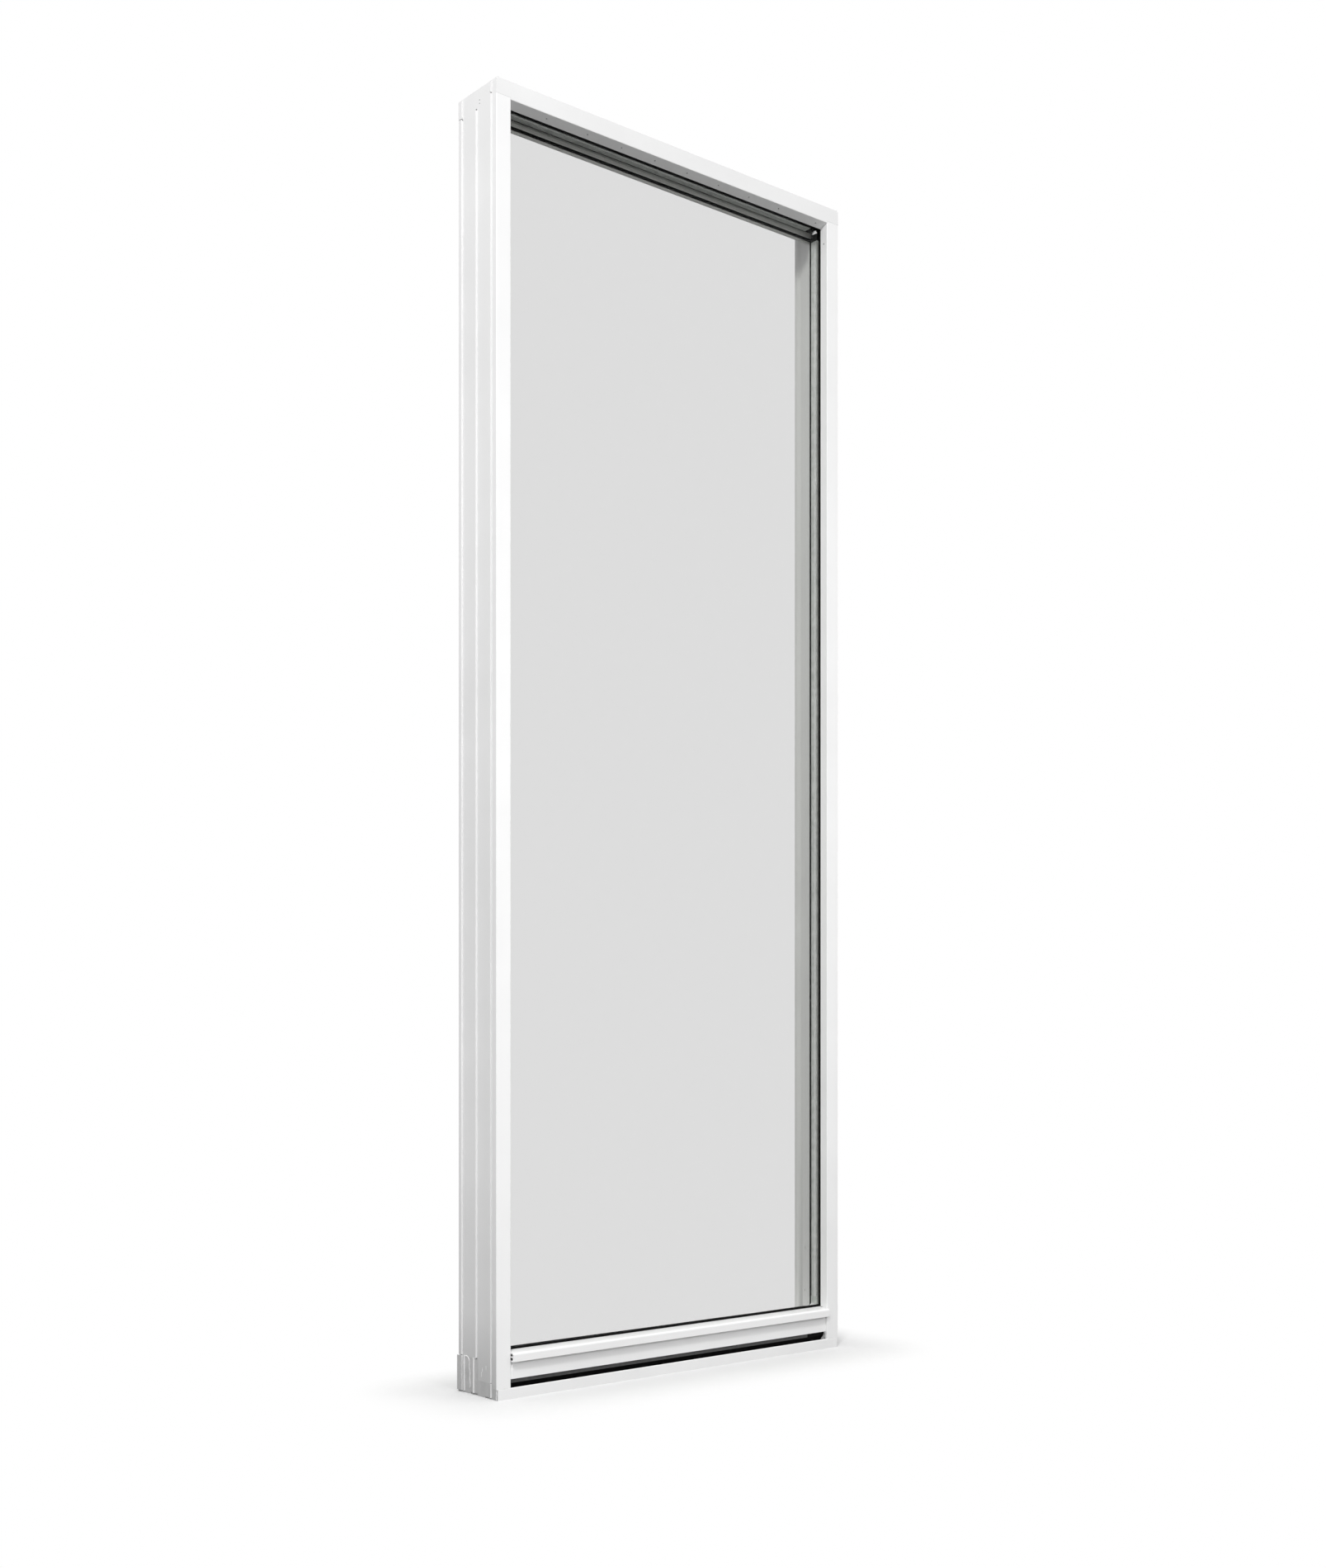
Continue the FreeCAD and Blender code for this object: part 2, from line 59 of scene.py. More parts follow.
# Butyl line between the spacer and the rear pane
BUTYL_STEP = 0.006
BUTYL_WIDTH = 0.0007
BUTYL_THIN = 0.0002
BUTYL_LEAST = 0.00015
BUTYL_MOST = 0.0010
BUTYL_SINK = 0.0001
BUTYL_WAVES = 5
BUTYL_RATES = (8.0, 60.0)
BUTYL_FADE = 0.95
BUTYL_WOBBLE = 0.25
BUTYL_SHOULDER_IN = 0.4
BUTYL_SHOULDER_RISE = 0.6

# Corner keys: the web down the inner corner, in bright metal that paints its highlight, with a nub
# behind it
KEY_RIB = 0.0027
KEY_RIB_SWELL = 0.57
KEY_RIB_LENGTH = 0.0092
KEY_NUB_GAP = 0.0010

# Round heads: their rings as shares of the radius and of the height
STUD_PROFILE = ((1.0, 0.0), (1.0, 0.6), (0.8, 1.0), (0.35, 1.0), (0.2, 0.7))
STUD_SIDES = 16

# Small dark grey screws at the ribs' ends, which also paint the shade of the notches there, as
# depth and height, and the two marks on the head's end
SCREW_RADIUS = 0.0010
SCREW_HEIGHT = 0.0009
RIB_FIELD = 0.0022
TOP_SCREWS = ((0.0135, 1.5848), (0.0450, 1.5760), (0.0760, 1.5745))
FOOT_SCREWS = ((0.0450, 0.0455), (0.0790, 0.0475), (0.0030, 0.0150))
HEAD_MARKS = ((0.0390, 1.5857), (0.0390, 1.5815))
MARK_RADIUS = 0.0006
MARK_HEIGHT = 0.0004

# Share of each stretch that smoothing cuts from a route's corners
CORNER_CUT = 0.25

# Sealant on the sill's ends, as depth and height: a wavy line, a line at the front edge, dabs
SMEAR_ROUTE = ((0.0730, 0.0425), (0.0700, 0.0455), (0.0640, 0.0450), (0.0605, 0.0400),
               (0.0615, 0.0330), (0.0590, 0.0260), (0.0605, 0.0190), (0.0585, 0.0120),
               (0.0600, 0.0070))
EDGE_ROUTE = ((0.0028, 0.0004), (0.0036, 0.0035), (0.0022, 0.0070), (0.0030, 0.0105),
              (0.0016, 0.0138))
DAB_PLACES = ((0.0330, 0.0330), (0.0350, 0.0270), (0.0250, 0.0365), (0.0725, 0.0440))
DAB_SIZE = (0.0008, 0.0040)
SEALANT_RADIUS = 0.0008
SEALANT_UNEVEN = 0.22
SEALANT_FLATNESS = 0.8
SEALANT_ANGLES = (0, 36, 72, 108, 144, 180)
SEALANT_TIP = 0.35
SEALANT_TIP_STEP = 0.4

# Strip of sealant on the sill's wall, beside the left jamb
WALL_SEALANT_IN = 0.0039
WALL_SEALANT_RADIUS = 0.0009
WALL_SEALANT_UNEVEN = 0.05
WALL_SEALANT_DRIFT = 0.0001
WALL_SEALANT_STEPS = 8
ABOVE_SEAL = 0.0006
INTO_BEAD = 0.0030

# Smears: corners of the rim, their reach, and how the crown is drawn in and raised
DAB_CORNERS = 18
DAB_REACH = (0.7, 1.15)
DAB_CROWN = 0.6
DAB_RISE = 0.00012
DAB_SINK = 0.00005

# Painted shade in the holes of the reveal: small near-black round heads across the head, and near
# the top of each jamb
HEAD_HOLES = (-0.2117, -0.1482, -0.0930, -0.0378, 0.0174, 0.0726, 0.1278, 0.1830, 0.2544)
HEAD_HOLE_HEIGHT = 1.5747
JAMB_HOLE_HEIGHT = 1.5500
HOLE_DEPTH = 0.0070
HOLE_SHADE_RADIUS = 0.00108
HOLE_SHADE_IN = 0.0009
HOLE_SHADE_HEIGHT = 0.0005

# Painted shade: a dark patch in the gap at the right end of the bead's top
BEAD_SHADE_IN = 0.0014
BEAD_SHADE_BACK = 0.0035
BEAD_SHADE_SIZE = (0.0013, 0.0020)

# Joint between the head and each jamb, on the front face
JOINT_HEIGHT = 1.5798
JOINT_WIDTH = 0.0003
JOINT_RISE = 0.00003

# Where the darker and the lighter of two tones stand along a noise
DRIFT_LOW = 0.3
DRIFT_HIGH = 0.7

# Powder coat: its tones, their grain, its fine orange peel, and the share of its tone that
# the head keeps, a darker copy of the coat that paints shade on the head's front
COAT_DARK = 0.84
COAT_LIGHT = 0.88
COAT_GRAIN = 9.0
COAT_ROUGHNESS = (0.34, 0.44)
ROUGHNESS_GRAIN = 60.0
PEEL_GRAIN = 900.0
PEEL_STRENGTH = 0.12
PEEL_DEPTH = 0.0004
HEAD_SHADE_SHARE = 0.93

# Painted shade on the outer sides: how high it reaches, and its tones from the foot up
FOOT_SHADE_HEIGHT = 0.30
FOOT_SHADE_TONES = ((0.0, 0.62), (0.12, 0.66), (0.34, 0.87), (1.0, 1.0))

# What counts as an outer side: how far its normal turns outwards and how far out it lies
OUTER_TURN = (0.4, 0.9)
OUTER_REACH = (0.2845, 0.2860)

# Glass: a low index, so that the white studio doesn't veil the blacks behind it
GLASS_TINT = (0.85, 0.85, 0.85, 1.0)
GLASS_INDEX = 1.2
GLASS_LIGHT_TINT = (0.93, 0.935, 0.922, 1.0)
BLACK = (0.0, 0.0, 0.0, 1.0)

# Smudges on the right jamb behind the glass, as depth behind the glazing leg and height
GRIME_PLACES = ((0.0175, 0.0740), (0.0165, 0.1346))
GRIME_SIZE = (0.0007, 0.0020)
LEG_THICKNESS = 0.004
REVEAL_RECESS = 0.0074

# Studio
FLOOR_SIZE = 14.0
FLOOR_TONE = 0.12
FLOOR_TONE_SEEN = 0.80
FLOOR_NEAR = 0.02
FLOOR_FAR = 0.14
SKY_LIGHT = 0.78

# Lamps: name, place, target, size, power and whether a gloss shows them
LAMPS = (
    ("lamp_key", (-2.2, -2.0, 2.8), (0.0, 0.0, 0.9), 0.5, 62.0, True),
    ("lamp_low", (-0.3, -1.2, 0.5), (0.1, 0.0, 0.4), 0.4, 4.3, False),
    ("lamp_right", (0.9, -1.5, 1.3), (0.2, 0.0, 1.0), 0.6, 3.6, False),
)

# Sockets of the Mix node that carry colours
FIRST_COLOUR = 6
SECOND_COLOUR = 7
MIXED_COLOUR = 2

BACK = Vector((0, 1, 0))


def link(tree, source, target):
    tree.links.new(source, target)


def new_material(name):
    material = bpy.data.materials.new(name)
    material.use_nodes = True
    tree = material.node_tree
    shader = tree.nodes["Principled BSDF"]
    return material, tree, shader


def noise(tree, coordinates, scale, detail=2.0, roughness=0.5):
    node = tree.nodes.new("ShaderNodeTexNoise")
    node.inputs["Scale"].default_value = scale
    node.inputs["Detail"].default_value = detail
    node.inputs["Roughness"].default_value = roughness
    link(tree, coordinates, node.inputs["Vector"])
    return node.outputs["Fac"]


def object_coordinates(tree):
    return tree.nodes.new("ShaderNodeTexCoord").outputs["Object"]


def ramp(tree, value, stops):
    node = tree.nodes.new("ShaderNodeValToRGB")
    elements = node.color_ramp.elements
    while len(elements) < len(stops):
        elements.new(0.5)
    for element, (place, colour) in zip(elements, stops):
        element.position = place
        element.color = (*colour, 1.0)
    link(tree, value, node.inputs["Fac"])
    return node.outputs["Color"]


def grey(tone):
    return (tone, tone, tone)


def drift(tree, value, first, second):
    """A colour that drifts between two along a noise."""
    return ramp(tree, value, [(DRIFT_LOW, first), (DRIFT_HIGH, second)])


def bump(tree, height, strength, distance, shader):
    node = tree.nodes.new("ShaderNodeBump")
    node.inputs["Strength"].default_value = strength
    node.inputs["Distance"].default_value = distance
    link(tree, height, node.inputs["Height"])
    link(tree, node.outputs["Normal"], shader.inputs["Normal"])


def largest(tree, outputs):
    """The largest of several numbers."""
    value = outputs[0]
    for other in outputs[1:]:
        node = tree.nodes.new("ShaderNodeMath")
        node.operation = "MAXIMUM"
        link(tree, value, node.inputs[0])
        link(tree, other, node.inputs[1])
        value = node.outputs["Value"]
    return value


def seen_ray(tree):
    """1 for what the camera sees directly, through glass or in a gloss."""
    path = tree.nodes.new("ShaderNodeLightPath")
    names = ("Is Camera Ray", "Is Glossy Ray", "Is Transmission Ray")
    return largest(tree, [path.outputs[name] for name in names])


def mix_shaders(tree, share, first, second):
    node = tree.nodes.new("ShaderNodeMixShader")
    link(tree, share, node.inputs["Fac"])
    link(tree, first, node.inputs[1])
    link(tree, second, node.inputs[2])
    return node.outputs["Shader"]


def map_range(tree, value, start, stop):
    """0 at start and 1 at stop, smooth in between."""
    node = tree.nodes.new("ShaderNodeMapRange")
    node.interpolation_type = "SMOOTHSTEP"
    node.inputs["From Min"].default_value = start
    node.inputs["From Max"].default_value = stop
    link(tree, value, node.inputs["Value"])
    return node.outputs["Result"]


def component(tree, vector, letter):
    node = tree.nodes.new("ShaderNodeSeparateXYZ")
    link(tree, vector, node.inputs["Vector"])
    return node.outputs[letter]


def absolute(tree, value):
    node = tree.nodes.new("ShaderNodeMath")
    node.operation = "ABSOLUTE"
    link(tree, value, node.inputs[0])
    return node.outputs["Value"]


def product(tree, first, second):
    node = tree.nodes.new("ShaderNodeMath")
    node.operation = "MULTIPLY"
    link(tree, first, node.inputs[0])
    link(tree, second, node.inputs[1])
    return node.outputs["Value"]


def mix_colours(tree, share, first, second, blend="MIX"):
    node = tree.nodes.new("ShaderNodeMix")
    node.data_type = "RGBA"
    node.blend_type = blend
    if isinstance(share, float):
        node.inputs["Factor"].default_value = share
    else:
        link(tree, share, node.inputs["Factor"])
    link(tree, first, node.inputs[FIRST_COLOUR])
    link(tree, second, node.inputs[SECOND_COLOUR])
    return node.outputs[MIXED_COLOUR]


def outer_side(tree, place):
    """1 on the outer sides of the frame, 0 on its faces and in its reveals: where the painted foot
    shade goes.
    """
    geometry = tree.nodes.new("ShaderNodeNewGeometry")
    turned = absolute(tree, component(tree, geometry.outputs["Normal"], "X"))
    out = absolute(tree, component(tree, place, "X"))
    return product(tree, map_range(tree, turned, *OUTER_TURN), map_range(tree, out, *OUTER_REACH))


def painted_foot_shade(tree, place):
    """A grey that deepens towards the foot: painted shade on the outer sides."""
    height = tree.nodes.new("ShaderNodeMapRange")
    height.inputs["From Max"].default_value = FOOT_SHADE_HEIGHT
    link(tree, component(tree, place, "Z"), height.inputs["Value"])
    stops = [(level, grey(tone)) for level, tone in FOOT_SHADE_TONES]
    return ramp(tree, height.outputs["Result"], stops)


def coat_tone(tree, place, share=1.0):
    """White that drifts a little in tone, darkened by a share."""
    tone = noise(tree, place, COAT_GRAIN, detail=3.0)
    return drift(tree, tone, grey(COAT_DARK * share), grey(COAT_LIGHT * share))


def white_coat(name="white_coat", share=1.0):
    """White powder coat: fine orange peel, a faint change of tone, and painted shade that deepens
    towards the foot of the outer sides.
    """
    material, tree, shader = new_material(name)
    place = object_coordinates(tree)
    side = outer_side(tree, place)
    # Painted shade: the outer sides darken towards the foot
    shaded_foot = mix_colours(tree, 1.0, coat_tone(tree, place), painted_foot_shade(tree, place), "MULTIPLY")
    colour = mix_colours(tree, side, coat_tone(tree, place, share), shaded_foot)
    link(tree, colour, shader.inputs["Base Color"])
    smooth, rough = (grey(value) for value in COAT_ROUGHNESS)
    gloss = drift(tree, noise(tree, place, ROUGHNESS_GRAIN), smooth, rough)
    link(tree, gloss, shader.inputs["Roughness"])
    bump(tree, noise(tree, place, PEEL_GRAIN), PEEL_STRENGTH, PEEL_DEPTH, shader)
    return material


def black_rubber():
    """Dull black rubber with a fine skin."""
    material, tree, shader = new_material("black_rubber")
    place = object_coordinates(tree)
    tone = noise(tree, place, scale=240.0, detail=4.0)
    colour = ramp(tree, tone, [(0.3, grey(0.001)), (0.75, grey(0.004))])
    link(tree, colour, shader.inputs["Base Color"])
    shader.inputs["Roughness"].default_value = 0.62
    shader.inputs["Specular IOR Level"].default_value = 0.08
    skin = noise(tree, place, scale=1500.0)
    bump(tree, skin, strength=0.2, distance=0.0003, shader=shader)
    return material


def clear_glass():
    """Clear float glass. Lamps and soft light pass it straight, the eye sees it bend."""
    material, tree, shader = new_material("clear_glass")
    shader.inputs["Base Color"].default_value = GLASS_TINT
    shader.inputs["Roughness"].default_value = 0.0
    shader.inputs["IOR"].default_value = GLASS_INDEX
    shader.inputs["Transmission Weight"].default_value = 1.0
    shader.inputs["Specular Tint"].default_value = BLACK
    passed = tree.nodes.new("ShaderNodeBsdfTransparent")
    passed.inputs["Color"].default_value = GLASS_LIGHT_TINT
    path = tree.nodes.new("ShaderNodeLightPath")
    names = ("Is Shadow Ray", "Is Diffuse Ray")
    share = largest(tree, [path.outputs[name] for name in names])
    both = mix_shaders(tree, share, shader.outputs["BSDF"], passed.outputs["BSDF"])
    link(tree, both, tree.nodes["Material Output"].inputs["Surface"])
    return material


def plain_material(name, dark, light, grain, roughness, metallic=0.0, detail=3.0):
    """A colour that drifts between two tones."""
    material, tree, shader = new_material(name)
    tone = noise(tree, object_coordinates(tree), grain, detail)
    link(tree, drift(tree, tone, dark, light), shader.inputs["Base Color"])
    shader.inputs["Roughness"].default_value = roughness
    shader.inputs["Metallic"].default_value = metallic
    return material


def spacer_metal():
    """Mill-finish aluminium with a trace of green."""
    return plain_material("spacer_metal", (0.50, 0.52, 0.50), (0.66, 0.68, 0.66), grain=120.0,
                          roughness=0.45, metallic=0.5)


def key_plastic():
    return plain_material("key_plastic", grey(0.025), grey(0.04), grain=200.0, roughness=0.5,
                          detail=2.0)


def edge_sealant():
    return plain_material("edge_sealant", grey(0.01), grey(0.025), grain=150.0, roughness=0.45,
                          detail=2.0)


def detail_materials():
    """Finishes of the small pieces: two tones, grain, roughness and share of metal."""
    return {
        # Paler than the spacer's metal: a painted highlight on the ridge
        "ridge": plain_material("ridge_metal_painted_highlight", grey(0.62), grey(0.74), 160.0, 0.3, 0.6),
        "slit": plain_material("slit_dark", grey(0.03), grey(0.07), 300.0, 0.7),
        "soft_slit": plain_material("slit_soft", grey(0.17), grey(0.24), 300.0, 0.7),
        # Painted reflection of the spacer's slits on the head's rear leg
        "leg_reflection": plain_material("leg_slit_painted_reflection", grey(0.38), grey(0.50), 300.0, 0.7),
        # Near-black: painted shade in the reveal's holes and in the gap at the bead's end
        "hole": plain_material("hole_and_gap_painted_shade", grey(0.012), grey(0.03), 300.0, 0.7),
        "joint": plain_material("joint_grey", grey(0.48), grey(0.60), 90.0, 0.6),
        "butyl": plain_material("butyl_black", grey(0.001), grey(0.004), 200.0, 0.6),
        # Bright metal on the dark keys: a painted highlight on the key's web
        "key_rib": plain_material("key_rib_painted_highlight", grey(0.86), grey(0.94), 120.0, 0.22, 0.9),
        # Dark grey: screw heads that also paint the shade of the notches at the ribs' ends
        "screw": plain_material("screw_and_notch_painted_shade", grey(0.20), grey(0.32), 900.0, 0.5, 0.3),
        "sealant": plain_material("sealant_white", grey(0.74), grey(0.90), 220.0, 0.3),
        "fresh": plain_material("sealant_fresh", grey(0.93), grey(0.97), 220.0, 0.25),
        "grime": plain_material("grime", (0.24, 0.24, 0.22), (0.36, 0.36, 0.33), 700.0, 0.8),
    }


def add_piece(name, points, faces, material, slot):
    """A closed piece from its points and faces, on the window's one body."""
    mesh = bpy.data.meshes.new(name)
    mesh.from_pydata(points, [], faces)
    shape = bmesh.new()
    shape.from_mesh(mesh)
    bmesh.ops.recalc_face_normals(shape, faces=shape.faces)
    shape.to_mesh(mesh)
    shape.free()
    mesh.materials.append(material)
    piece = bpy.data.objects.new(name, mesh)
    bpy.context.scene.collection.objects.link(piece)
    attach(piece, "root")
    return piece


def swept(rings):
    """Points and faces of a closed skin through rings of equal size, with both ends capped."""
    size = len(rings[0])
    points = [point for ring in rings for point in ring]
    faces = [tuple(range(size)), tuple(range(len(points) - size, len(points)))]
    for ring in range(len(rings) - 1):
        for corner in range(size):
            after = (corner + 1) % size
            first = ring * size
            second = first + size
            faces.append((first + corner, first + after, second + after, second + corner))
    return points, faces


def spacer_side(side):
    """A spacer's inner face: its front start, its run, its length and the way into the unit."""
    low, high = (Vector(corner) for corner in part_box("spacer_" + side))
    upright = side in ("left", "right")
    run = Vector((0, 0, 1)) if upright else Vector((1, 0, 0))
    start = low.copy()
    if side == "left":
        start.x = high.x
    if side == "sill":
        start.z = high.z
    into = {"head": (0, 0, -1), "sill": (0, 0, 1), "left": (1, 0, 0), "right": (-1, 0, 0)}[side]
    return start, run, (high - low).dot(run), Vector(into)


def make_ridge(side, material):
    """The low ridge along an upright spacer bar: it catches light, and its paler metal paints a
    highlight.
    """
    start, run, length, into = spacer_side(side)
    third = (RIDGE_FAR - RIDGE_NEAR) / 3.0
    section = [
        (RIDGE_NEAR, -RIDGE_RISE),
        (RIDGE_NEAR, RIDGE_RISE / 2.0),
        (RIDGE_NEAR + third, RIDGE_RISE),
        (RIDGE_FAR - third, RIDGE_RISE),
        (RIDGE_FAR, RIDGE_RISE / 2.0),
        (RIDGE_FAR, -RIDGE_RISE),
    ]
    rings = []
    for along in (0.0, length):
        rings.append([start + run * along + BACK * depth + into * rise for depth, rise in section])
    add_piece("spacer_ridge_" + side, *swept(rings), material, "spacer_metal")


def slit_row(points, faces, first, run, across, into, length):
    """Adds one row of low oblong slits to a list of points and faces."""
    count = int(length / SLIT_PITCH)
    for index in range(count):
        middle = first + run * (SLIT_PITCH * (index + 0.5))
        base = len(points)
        for rise in (-SLIT_RISE, SLIT_RISE):
            for turn, out in ((-1, -1), (1, -1), (1, 1), (-1, 1)):
                points.append(middle + run * (turn * SLIT_LENGTH / 2.0)
                              + across * (out * SLIT_WIDTH / 2.0) + into * rise)
        faces.append((base, base + 1, base + 2, base + 3))
        faces.append((base + 4, base + 5, base + 6, base + 7))
        for corner in range(4):
            after = (corner + 1) % 4
            faces.append((base + corner, base + after, base + 4 + after, base + 4 + corner))


def make_slits(side, material):
    """The row of slits along one spacer bar."""
    start, run, length, into = spacer_side(side)
    depth = SLIT_ROW_UPRIGHT if side in ("left", "right") else SLIT_ROW_FLAT
    points, faces = [], []
    slit_row(points, faces, start + BACK * depth, run, BACK, into, length)
    add_piece("spacer_slits_" + side, points, faces, material, "edge_sealant")


def make_leg_slit_reflection(material):
    """A painted reflection of the spacer's slits: a row of grey slit shapes on the head's rear
    glazing leg, seen through both panes.
    """
    start, run, length, _ = spacer_side("head")
    leg_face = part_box("rear_gasket_head")[1][1]
    first = Vector((start.x, leg_face, start.z - LEG_REFLECTION_DROP))
    points, faces = [], []
    slit_row(points, faces, first, run, Vector((0, 0, 1)), Vector((0, -1, 0)), length)
    add_piece("head_leg_slit_reflection", points, faces, material, "edge_sealant")


def make_butyl(side, material):
    """The uneven black line where the spacer is stuck to the rear pane."""
    start, run, length, into = spacer_side(side)
    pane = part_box("spacer_" + side)[1][1] - start.y
    waves = [
        (random.uniform(*BUTYL_RATES), random.uniform(0.0, math.tau))
        for _ in range(BUTYL_WAVES)
    ]
    rings = []
    steps = int(length / BUTYL_STEP)
    for step in range(steps + 1):
        along = length * step / steps
        wobble = sum(math.sin(rate * along + phase) for rate, phase in waves) / len(waves)
        share = 1.0 - BUTYL_FADE * along / length + BUTYL_WOBBLE * wobble
        share = min(1.0, max(0.0, share))
        rise = BUTYL_LEAST + (BUTYL_MOST - BUTYL_LEAST) * share
        width = BUTYL_THIN + (BUTYL_WIDTH - BUTYL_THIN) * share
        place = start + run * along
        rings.append([
            place + BACK * pane - into * BUTYL_SINK,
            place + BACK * (pane - width) - into * BUTYL_SINK,
            place + BACK * (pane - width * BUTYL_SHOULDER_IN) + into * rise * BUTYL_SHOULDER_RISE,
            place + BACK * pane + into * rise,
        ])
    add_piece("butyl_line_" + side, *swept(rings), material, "edge_sealant")


def make_key_rib(level, side, material):
    """The rib in the inner corner of one corner key, in bright metal that paints its highlight."""
    low, high = (Vector(corner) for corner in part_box(f"spacer_key_{level}_{side}"))
    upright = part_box("spacer_" + side)
    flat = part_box("spacer_" + level)
    x = upright[0][0] if side == "right" else upright[1][0]
    z = flat[0][2] if level == "head" else flat[1][2]
    to_middle = Vector((-1 if side == "right" else 1, 0, 0))
    to_inside = Vector((0, 0, -1 if level == "head" else 1))
    sunk = (to_middle + to_inside) * SINK
    crest = (to_middle + to_inside) * KEY_RIB * KEY_RIB_SWELL
    stretches = ((low.y, low.y + KEY_RIB_LENGTH), (low.y + KEY_RIB_LENGTH + KEY_NUB_GAP, high.y))
    points, faces = [], []
    for near, far in stretches:
        rings = []
        for y in (near, far):
            corner = Vector((x, y, z))
            rings.append([
                corner - sunk,
                corner + to_middle * KEY_RIB,
                corner + crest,
                corner + to_inside * KEY_RIB,
            ])
        more, skin = swept(rings)
        base = len(points)
        points += more
        faces += [tuple(base + index for index in face) for face in skin]
    add_piece(f"corner_key_rib_{level}_{side}", points, faces, material, "white_coat")


def side_sign(side):
    """Which way along x the outer side of a jamb looks."""
    return -1.0 if side == "left" else 1.0


def on_side(side, depth, height, out):
    """A point on an outer side: depth from the front face, height, and distance outwards."""
    low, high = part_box(side + "_jamb")
    face = low[0] if side == "left" else high[0]
    return Vector((face + side_sign(side) * out, low[1] + depth, height))


def make_stud(name, foot, axis, radius, height, material, slot):
    """A low round head with a bevelled edge and a shallow dimple."""
    across = BACK
    up = axis.cross(across)
    rings = []
    for share, rise in STUD_PROFILE:
        ring = []
        for index in range(STUD_SIDES):
            angle = math.tau * index / STUD_SIDES
            out = (across * math.cos(angle) + up * math.sin(angle)) * radius * share
            ring.append(foot + out + axis * height * rise)
        rings.append(ring)
    add_piece(name, *swept(rings), material, slot)


def make_side_marks(side, materials):
    """Screws at the ends of the ribs, whose dark grey also paints the shade of the notches there,
    and two small marks on the head's end plate.
    """
    axis = Vector((side_sign(side), 0, 0))
    for level, places in (("top", TOP_SCREWS), ("foot", FOOT_SCREWS)):
        for number, (depth, height) in enumerate(places):
            foot = on_side(side, depth, height, -RIB_FIELD)
            make_stud(f"frame_screw_{level}_{side}_{number}", foot, axis, SCREW_RADIUS,
                      SCREW_HEIGHT, materials["screw"], "spacer_metal")
    for number, (depth, height) in enumerate(HEAD_MARKS):
        foot = on_side(side, depth, height, -RIB_FIELD - SINK)
        make_stud(f"head_mark_{side}_{number}", foot, axis, MARK_RADIUS, MARK_HEIGHT,
                  materials["slit"], "edge_sealant")


def smooth_route(points, rounds=2):
    """Cuts the corners of an open route so that it runs smoothly."""
    for _ in range(rounds):
        finer = [points[0]]
        for first, second in zip(points, points[1:]):
            finer.append(first.lerp(second, CORNER_CUT))
            finer.append(first.lerp(second, 1.0 - CORNER_CUT))
        points = finer + [points[-1]]
    return points


def make_sealant_line(name, route, axis, radius, uneven, material):
    """A hand-laid bead of sealant along a route on a flat face."""
    route = smooth_route(route)
    rings = []
    for index, place in enumerate(route):
        before = route[max(0, index - 1)]
        after = route[min(len(route) - 1, index + 1)]
        across = (after - before).cross(axis).normalized()
        from_end = min(index, len(route) - 1 - index)
        end = min(1.0, SEALANT_TIP + SEALANT_TIP_STEP * from_end)
        width = radius * end * random.uniform(1.0 - uneven, 1.0 + uneven)
        ring = []
        for angle in SEALANT_ANGLES:
            turn = math.radians(angle)
            rise = axis * math.sin(turn) * width * SEALANT_FLATNESS
            ring.append(place + across * math.cos(turn) * width + rise)
        ring.append(place - axis * SINK)
        rings.append(ring)
    add_piece(name, *swept(rings), material, "white_coat")


def make_dab(name, middle, axis, size, material, slot):
    """A small uneven smear on a flat face that looks along axis."""
    across = axis.zxy
    up = axis.yzx
    rim, crown = [], []
    for index in range(DAB_CORNERS):
        angle = math.tau * index / DAB_CORNERS
        reach = random.uniform(*DAB_REACH)
        out = across * math.cos(angle) * size[0] * reach + up * math.sin(angle) * size[1] * reach
        rim.append(middle + out - axis * DAB_SINK)
        crown.append(middle + out * DAB_CROWN + axis * DAB_RISE)
    add_piece(name, *swept([rim, crown]), material, slot)


def make_end_sealant(side, material):
    """Hand-laid sealant lines and dabs on one end of the sill."""
    axis = Vector((side_sign(side), 0, 0))
    for name, route in (("sill_end_sealant_", SMEAR_ROUTE), ("sill_edge_sealant_", EDGE_ROUTE)):
        places = [on_side(side, depth, height, -RIB_FIELD) for depth, height in route]
        make_sealant_line(name + side, places, axis, SEALANT_RADIUS, SEALANT_UNEVEN,
                          material)
    for number, (depth, height) in enumerate(DAB_PLACES):
        middle = on_side(side, depth, height, -RIB_FIELD)
        make_dab(f"sill_end_dab_{side}_{number}", middle, axis, DAB_SIZE, material,
                 "white_coat")


def make_wall_sealant(material):
    """A strip of white sealant on the sill's wall, beside the left jamb."""
    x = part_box("left_jamb")[1][0] + WALL_SEALANT_IN
    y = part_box("sill_slot_corner")[0][1]
    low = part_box("sill_slot_seal")[1][2] + ABOVE_SEAL
    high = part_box("sill_glazing_bead")[0][2] + INTO_BEAD
    route = []
    for step in range(WALL_SEALANT_STEPS + 1):
        drift = random.uniform(-WALL_SEALANT_DRIFT, WALL_SEALANT_DRIFT)
        height = low + (high - low) * step / WALL_SEALANT_STEPS
        route.append(Vector((x + drift, y, height)))
    make_sealant_line("sill_wall_sealant", route, -BACK, WALL_SEALANT_RADIUS,
                      WALL_SEALANT_UNEVEN, material)


